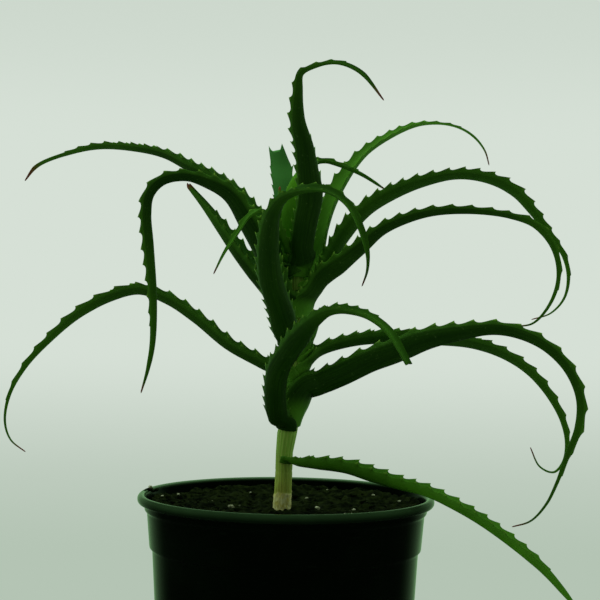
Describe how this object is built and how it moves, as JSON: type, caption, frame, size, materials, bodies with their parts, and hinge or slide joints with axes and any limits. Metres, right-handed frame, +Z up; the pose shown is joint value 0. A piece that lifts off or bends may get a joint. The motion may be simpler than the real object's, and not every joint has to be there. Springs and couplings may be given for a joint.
{
  "type": "potted candelabra aloe",
  "caption": "Young aloe with long arching toothed leaves on a short stem, in a round dark plastic nursery pot filled with soil.",
  "frame": {"origin": "centre of the pot's base, on the surface that the pot stands on", "axes": "+Z up along the pot's axis, -Y towards the viewer, +X to the viewer's right"},
  "size_m": [0.3339, 0.2232, 0.3704],
  "materials": {
    "pot_plastic": "dark green-black moulded plastic, satin gloss",
    "soil": "dark moist potting soil with pale perlite grains",
    "stem": "olive green stem with fine lengthwise lines, corky tan at its foot",
    "leaf": "smooth waxy dark green succulent skin, paler along the toothed edges, tips dried brown"
  },
  "bodies": {
    "root": {"pot": "pot_plastic", "soil": "soil", "stem": "stem", "leaf_young_centre": "leaf", "leaf_right_thin": "leaf", "leaf_back_notched": "leaf", "leaf_young_left": "leaf", "leaf_left_small": "leaf", "leaf_front_tall": "leaf", "leaf_left_top": "leaf", "leaf_right_back": "leaf", "leaf_right_upper": "leaf", "leaf_right_middle": "leaf", "leaf_left_drooping": "leaf", "leaf_left_torn": "leaf", "leaf_front_curled": "leaf", "leaf_right_short": "leaf", "leaf_right_low_back": "leaf", "leaf_left_low": "leaf", "leaf_right_low_front": "leaf", "leaf_front_low": "leaf", "leaf_over_rim": "leaf"}
  },
  "joints": []
}
